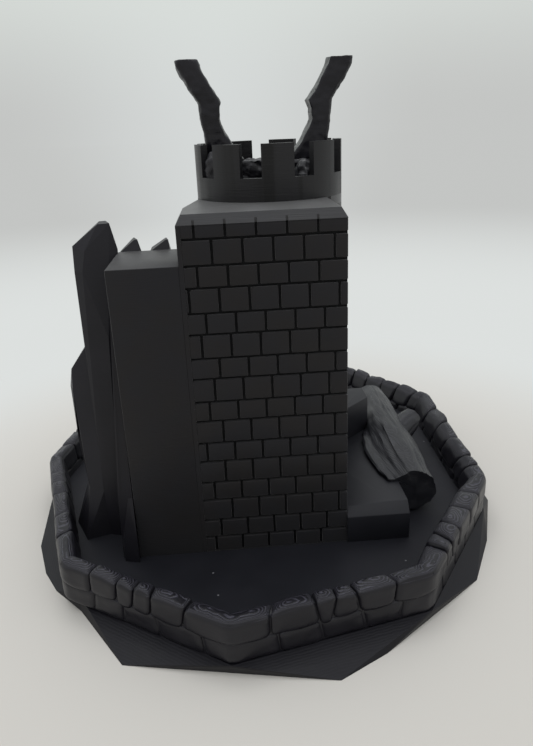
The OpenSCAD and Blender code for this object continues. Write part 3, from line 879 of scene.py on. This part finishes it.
def gnarl(name, node, finish, slot, grid, rough, fine, boulders=(), squared=False, easing=0):
    """A worn, lumpy copy of a solid, with its kinks eased and boulders grown on it."""
    def shape(bm):
        take_solid(bm, node)
        if squared:
            square_left(bm)
        bmesh.ops.triangulate(bm, faces=bm.faces)
        cut_long_edges(bm, grid, 7)
        for _ in range(easing):
            bmesh.ops.smooth_vert(bm, verts=bm.verts, factor=0.5,
                                  use_axis_x=True, use_axis_y=True, use_axis_z=True)
        for middle, size in boulders:
            verts = bmesh.ops.create_icosphere(bm, subdivisions=4, radius=MM)["verts"]
            bmesh.ops.scale(bm, verts=verts, vec=size)
            bmesh.ops.translate(bm, verts=verts, vec=at(*middle))
        bm.normal_update()
        for v in bm.verts:
            p = from_tower(v.co)
            swell = rough * noise.noise(p * KNOB_WAVE) + fine * noise.noise(p * KNOT_WAVE)
            v.co += v.normal * swell * MM
            v.co.z = min(v.co.z, POST_TOP)
    piece = new_piece(name, shape, finish, slot, node)
    shade(piece, 32)


gnarl("gnarled_left", "post_left", POST_FINISH, "wood", grid=1.3, rough=0.6, fine=0.35, easing=5)
gnarl("gnarled_right", "post_right", POST_FINISH, "wood", grid=1.3, rough=0.4, fine=0.28, squared=True)
# Painted light: the saddle takes the paler finish
gnarl("saddle_rock", "saddle", SADDLE_PAINTED_LIGHT_FINISH, "rock", grid=1.2, rough=1.2, fine=1.0,
      boulders=SADDLE_BOULDERS)


# Fallen trunk

LOG_R = 11.3
LOG_NEAR = 18.0
LOG_FAR = 117.0
# By distance from the flat back: its middle, height of the middle, girth and spread of its left side
LOG_X = [(18, 63.6), (45, 63.2), (75, 63), (100, 64), (117, 65)]
LOG_MID = [(18, 10.8), (45, 11.4), (75, 11.8), (100, 12.4), (117, 12.8)]
LOG_GIRTH = [(18, 0.84), (45, 1), (75, 1.01), (100, 0.9), (117, 0.77)]
LOG_FLARE = [(18, 1.45), (26, 1.62), (36, 1.68), (45, 1.62), (54, 1.48), (64, 1.3), (75, 1), (117, 1)]
# Relief of the bark as shares of the trunk's radius
BARK_GROOVE = 0.07
BARK_FIBRE = 0.028
BARK_LUMP = 0.06
# The platform that the spread side lies on
PLATFORM_H = 16.0
PLATFORM_EDGE = 56.0
CLEARANCE = 0.02
# The bark near the platform tucks in under the fold
TUCK_H = 1.6
TUCK_SLOPE = 0.9
# Angles around the trunk where the spread side folds out and where its lip ends
FLAP_FOLD = 1.8
FLAP_LIP = 2.9
# Its reach from the trunk's middle at the fold and at the lip, and the fold's height, in radii
FOLD_REACH = 0.23
LIP_REACH = 0.93
FOLD_H = 0.97
# Its height above the platform, from the fold to the lip, as a share of the fold's height
FLAP_RISE = [(0.0, 1.0), (0.07, 0.86), (0.28, 0.72), (0.5, 0.47), (0.68, 0.3), (0.82, 0.33),
             (0.92, 0.43), (1.0, 0.3)]
# The broken end: depth of its hollow, raggedness, and how far up the trunk both reach
END_HOLLOW = 0.6
END_RAG = 0.6
END_REACH = 8.0
TRUNK_INSETS = (0.05, 0.12, 0.2, 0.25, 0.2, 0.12)


def bark_blank(bm, segments, cuts, end, insets):
    """A cylinder of radius and length 1, cut up lengthwise, with its low (-1) or high (1) end inset."""
    bmesh.ops.create_cone(bm, cap_ends=True, segments=segments, radius1=1.0, radius2=1.0, depth=1.0)
    broken = [f for f in bm.faces if f.calc_center_median().z * end > 0.4][0]
    for inset in insets:
        bmesh.ops.inset_region(bm, faces=[broken], thickness=inset)
    sides = [e for e in bm.edges if abs(e.verts[0].co.z - e.verts[1].co.z) > 0.5]
    bmesh.ops.subdivide_edges(bm, edges=sides, cuts=cuts)


def bark_noise(across, up, y, around, lengthwise, shift=0.0):
    return noise.noise(Vector((across * around, y * lengthwise, up * around + shift)))


def trunk_skin(y, turn):
    """Place on the trunk's bark at a distance y, for an angle around it."""
    across = math.cos(turn)
    up = math.sin(turn)
    spread = along(LOG_FLARE, y) if across < 0.0 else 1.0
    grooves = BARK_GROOVE * abs(bark_noise(across, up, y, 5.0, 0.035))
    fibres = BARK_FIBRE * bark_noise(across, up, y, 16.0, 0.09)
    lumps = BARK_LUMP * bark_noise(across, up, y, 1.8, 0.07, 4.0)
    radius = LOG_R * along(LOG_GIRTH, y) * (1.0 - grooves + fibres + lumps)
    middle = along(LOG_MID, y)
    x = radius * across * spread
    z = middle + radius * up
    part = 0.0
    if FLAP_FOLD < turn < FLAP_LIP:
        out = (turn - FLAP_FOLD) / (FLAP_LIP - FLAP_FOLD)
        part = smooth_step(spread, 1.1, 1.5) * smooth_step(out, 0.0, 0.12)
        reach = FOLD_REACH + (LIP_REACH * spread - FOLD_REACH) * out
        height = PLATFORM_H + (middle + FOLD_H * radius - PLATFORM_H) * along(FLAP_RISE, out)
        x += (-radius * reach - x) * part
        z += (height - z) * part
    x += along(LOG_X, y)
    if x < PLATFORM_EDGE:
        tuck = max(0.0, PLATFORM_H + TUCK_H - z) * (1.0 - part)
        x = min(PLATFORM_EDGE, x + TUCK_SLOPE * tuck)
        z = max(z, PLATFORM_H + CLEARANCE)
    return at(x, y, max(z, CLEARANCE))


def trunk(bm):
    """Broken near end, bark grooves along the length, and a fold above the spread left side."""
    bark_blank(bm, 96, 110, -1, TRUNK_INSETS)
    for v in bm.verts:
        flat = Vector((v.co.x, v.co.y))
        share = min(1.0, flat.length)
        y = LOG_NEAR + (LOG_FAR - LOG_NEAR) * (v.co.z + 0.5)
        nearness = 1.0 - smooth_step(y, LOG_NEAR, LOG_NEAR + END_REACH)
        hollow = END_HOLLOW * smooth_step(1.0 - share, 0.0, 0.35)
        rag = END_RAG * noise.noise(Vector((flat.x * 4.0, flat.y * 1.5, 2.0)))
        heart = at(along(LOG_X, y), y, along(LOG_MID, y))
        skin = heart.lerp(trunk_skin(y, math.atan2(flat.y, flat.x)), share)
        v.co = skin + Vector((0.0, (hollow + rag) * nearness, 0.0)) * MM
    bmesh.ops.recalc_face_normals(bm, faces=bm.faces)


shade(new_piece("trunk_bark", trunk, WOOD_FINISH, "wood", "log"), 50)

STUB_ROOT = Vector((68.0, 70.0, 12.0))
STUB_TIP = Vector((80.5, 81.5, 17.0))
STUB_R = 6.6
STUB_CROWN = 1.2
STUB_SPLIT = 0.1
STUB_LOW = 0.05
STUB_INSETS = (0.12, 0.2, 0.25, 0.25)


def stub(bm):
    """Broken branch: a short rounded stump with split bark."""
    reach = STUB_TIP - STUB_ROOT
    lay = reach.to_track_quat("Z", "Y").to_matrix()
    bark_blank(bm, 56, 24, 1, STUB_INSETS)
    for v in bm.verts:
        flat = Vector((v.co.x, v.co.y))
        share = min(1.0, flat.length)
        far = v.co.z + 0.5
        turn = math.atan2(flat.y, flat.x)
        split = abs(noise.noise(Vector((math.cos(turn) * 3.0, math.sin(turn) * 3.0, far * 1.5))))
        taper = 1.1 - 0.2 * far - 0.1 * smooth_step(far, 0.7, 1.0)
        radius = STUB_R * taper * (1.0 - STUB_SPLIT * split) * share
        crown = STUB_CROWN * (1.0 - share) if far > 0.99 else 0.0
        rise = far * reach.length - STUB_CROWN + crown
        p = STUB_ROOT + lay @ Vector((math.cos(turn) * radius, math.sin(turn) * radius, rise))
        v.co = at(p.x, p.y, max(STUB_LOW, p.z))
    bmesh.ops.recalc_face_normals(bm, faces=bm.faces)


shade(new_piece("stub_bark", stub, WOOD_FINISH, "wood", "branch_stub"), 50)


# Solids that keep their shape, with the soft edges of a print

PRINT_EDGE = 0.3
RIDGE_EDGE = 0.5
# The skirt's rim: corners between these heights come down to the thin one
RIM_LOW = 0.2
RIM_HIGH = 2.5
RIM_THIN = 0.15
RIDGE_FROM = 2.0


def soft_edged(name, node, finish, slot):
    def shape(bm):
        take_solid(bm, node)
        ease_edges(bm, folds(bm, 30), PRINT_EDGE)
    piece = new_piece(name, shape, finish, slot, node)
    shade(piece, 30)


soft_edged("annex_block", "annex", TOWER_FINISH, "tower")
soft_edged("low_platform", "platform", PLATFORM_FINISH, "floor")
soft_edged("slanted_step", "step_block", PLATFORM_FINISH, "floor")


def skirt(bm):
    """Rock skirt whose slopes run out thin on the table."""
    take_solid(bm, "base_skirt")
    for v in bm.verts:
        if RIM_LOW * MM < v.co.z < RIM_HIGH * MM:
            v.co.z = RIM_THIN * MM
    ridges = [e for e in folds(bm, 8, 60) if max(v.co.z for v in e.verts) > RIDGE_FROM * MM]
    ease_edges(bm, ridges, RIDGE_EDGE)


shade(new_piece("rock_skirt", skirt, SKIRT_FINISH, "rock", "base_skirt"), 6)

for node, finish in (("tray_floor", FLOOR_FINISH), ("tower_shaft", TOWER_FINISH),
                     ("turret_slab", SLAB_FINISH), ("turret_drum", TURRET_FINISH)):
    solid = nodes[node]
    solid.data.materials.clear()
    solid.data.materials.append(finish)


# Table, light and camera

TABLE_R = 8.0
TABLE_TONE = (0.65, 0.626, 0.582)
# Pale tones of the table beyond the object, where it glows in them as painted light, darker in front than
# behind, and of the room's walls
FRONT_TONE = (0.585, 0.57, 0.535)
NEAR_TONE = (0.72, 0.745, 0.735)
FAR_TONE = (0.55, 0.56, 0.55)
MIDDLE_TONE = (0.66, 0.685, 0.68)
HIGH_TONE = (0.70, 0.74, 0.71)
FACING_TONE = (0.86, 0.85, 0.84)
UPPER_TONE = (0.5, 0.51, 0.53)
CEILING_TONE = (1.35, 1.38, 1.41)
# Where one tone gives way to the next: by distance or place on the table, and by heading in the room
LIT_REACH = (0.115, 0.26)
FAR_REACH = (0.4, 1.2)
NEAR_REACH = (-0.2, 0.15)
MIDDLE_WIDTH = (0.0, 0.3)
FAR_SIDE = (-0.6, 0.3)

# The photo's view: pitch, yaw and roll, eye from the tower's flat back, focal length and height in pixels
VIEW_TURN = (20.79, 3.26, 2.46)
VIEW_EYE = (-13.89, -230.29, 164.76)
VIEW_FOCAL = 659.3
PICTURE_H = 746.0
SENSOR_W = 36.0


def far_tone(tree, sideways):
    """Pale tone ahead, lighter in the middle than at the sides."""
    aside = calc(tree, "ABSOLUTE", sideways)
    return tint(tree, span(tree, aside, *MIDDLE_WIDTH), MIDDLE_TONE, FAR_TONE)


def make_table():
    """A round table that takes the object's shadow near it, and further off glows in pale tones as painted
    light: lighter behind and in the middle, darker in front and at the sides.
    """
    mesh = bpy.data.meshes.new("table")
    bm = bmesh.new()
    bmesh.ops.create_circle(bm, cap_ends=True, segments=96, radius=TABLE_R)
    bm.to_mesh(mesh)
    bm.free()
    table = bpy.data.objects.new("table", mesh)
    bpy.context.scene.collection.objects.link(table)
    paper = bpy.data.materials.new("pale_table")
    paper.use_nodes = True
    tree = paper.node_tree
    shader = tree.nodes["Principled BSDF"]
    shader.inputs["Base Color"].default_value = (*TABLE_TONE, 1.0)
    shader.inputs["Roughness"].default_value = 0.8
    shader.inputs["Specular IOR Level"].default_value = 0.1
    place = tree.nodes.new("ShaderNodeTexCoord").outputs["Object"]
    reach = tree.nodes.new("ShaderNodeVectorMath")
    reach.operation = "LENGTH"
    tree.links.new(place, reach.inputs[0])
    heading = tree.nodes.new("ShaderNodeVectorMath")
    heading.operation = "NORMALIZE"
    tree.links.new(place, heading.inputs[0])
    ahead = parts(tree, heading.outputs["Vector"])
    back = far_tone(tree, ahead["X"])
    back = tint(tree, span(tree, ahead["Y"], *FAR_SIDE), FAR_TONE, back)
    near = tint(tree, span(tree, parts(tree, place)["Y"], *NEAR_REACH), FRONT_TONE, NEAR_TONE)
    tone = tint(tree, span(tree, reach.outputs["Value"], *FAR_REACH), near, back)
    # Painted light: the glow that stands for the lit table further off
    far = tree.nodes.new("ShaderNodeEmission")
    tree.links.new(tone, far.inputs["Color"])
    mix = tree.nodes.new("ShaderNodeMixShader")
    tree.links.new(span(tree, reach.outputs["Value"], *LIT_REACH), mix.inputs["Fac"])
    tree.links.new(shader.outputs[0], mix.inputs[1])
    tree.links.new(far.outputs[0], mix.inputs[2])
    tree.links.new(mix.outputs[0], tree.nodes["Material Output"].inputs["Surface"])
    mesh.materials.append(paper)


def make_world():
    """Pale room: white walls all round, brightest behind the tower, under a bright ceiling."""
    world = bpy.data.worlds.new("pale_room")
    bpy.context.scene.world = world
    world.use_nodes = True
    tree = world.node_tree
    tree.nodes.clear()
    heading = parts(tree, tree.nodes.new("ShaderNodeTexCoord").outputs["Generated"])
    wall = far_tone(tree, heading["X"])
    wall = tint(tree, span(tree, heading["Z"], 0.0, 0.25), wall, HIGH_TONE)
    facing = tint(tree, span(tree, heading["Z"], 0.0, 0.35), FAR_TONE, FACING_TONE)
    wall = tint(tree, span(tree, heading["Y"], *FAR_SIDE), facing, wall)
    wall = tint(tree, span(tree, heading["Z"], 0.25, 0.55), wall, UPPER_TONE)
    wall = tint(tree, span(tree, heading["Z"], 0.5, 0.95), wall, CEILING_TONE)
    room = tree.nodes.new("ShaderNodeBackground")
    tree.links.new(wall, room.inputs["Color"])
    out = tree.nodes.new("ShaderNodeOutputWorld")
    tree.links.new(room.outputs[0], out.inputs["Surface"])


def soft_lamp(name, place, aim, size, power):
    lamp = bpy.data.lights.new(name, "AREA")
    lamp.shape = "DISK"
    lamp.size = size
    lamp.energy = power
    holder = bpy.data.objects.new(name, lamp)
    holder.location = place
    holder.rotation_euler = (Vector(aim) - Vector(place)).to_track_quat("-Z", "Y").to_euler()
    bpy.context.scene.collection.objects.link(holder)


def make_camera():
    pitch, yaw, roll = (math.radians(a) for a in VIEW_TURN)
    ahead = Vector((math.sin(yaw) * math.cos(pitch), math.cos(yaw) * math.cos(pitch), -math.sin(pitch)))
    level = Vector((math.cos(yaw), -math.sin(yaw), 0.0))
    below = ahead.cross(level)
    right = math.cos(roll) * level + math.sin(roll) * below
    down = math.cos(roll) * below - math.sin(roll) * level
    lens = bpy.data.cameras.new("photo_view")
    lens.sensor_width = SENSOR_W
    lens.lens = SENSOR_W * VIEW_FOCAL / PICTURE_H
    lens.clip_start = 0.01
    lens.clip_end = 50.0
    camera = bpy.data.objects.new("photo_view", lens)
    turn = Matrix((right, -down, -ahead)).transposed().to_4x4()
    camera.matrix_world = Matrix.Translation(at(*VIEW_EYE)) @ turn
    bpy.context.scene.collection.objects.link(camera)
    bpy.context.scene.camera = camera


make_table()
make_world()
soft_lamp("back_window", place=(-0.08, 0.42, 1.15), aim=(0.0, 0.0, 0.05), size=0.7, power=1.7)
soft_lamp("left_window", place=(-1.0, 0.15, 0.4), aim=(0.0, 0.0, 0.08), size=0.5, power=0.22)
make_camera()
bpy.context.scene.view_settings.view_transform = "Standard"
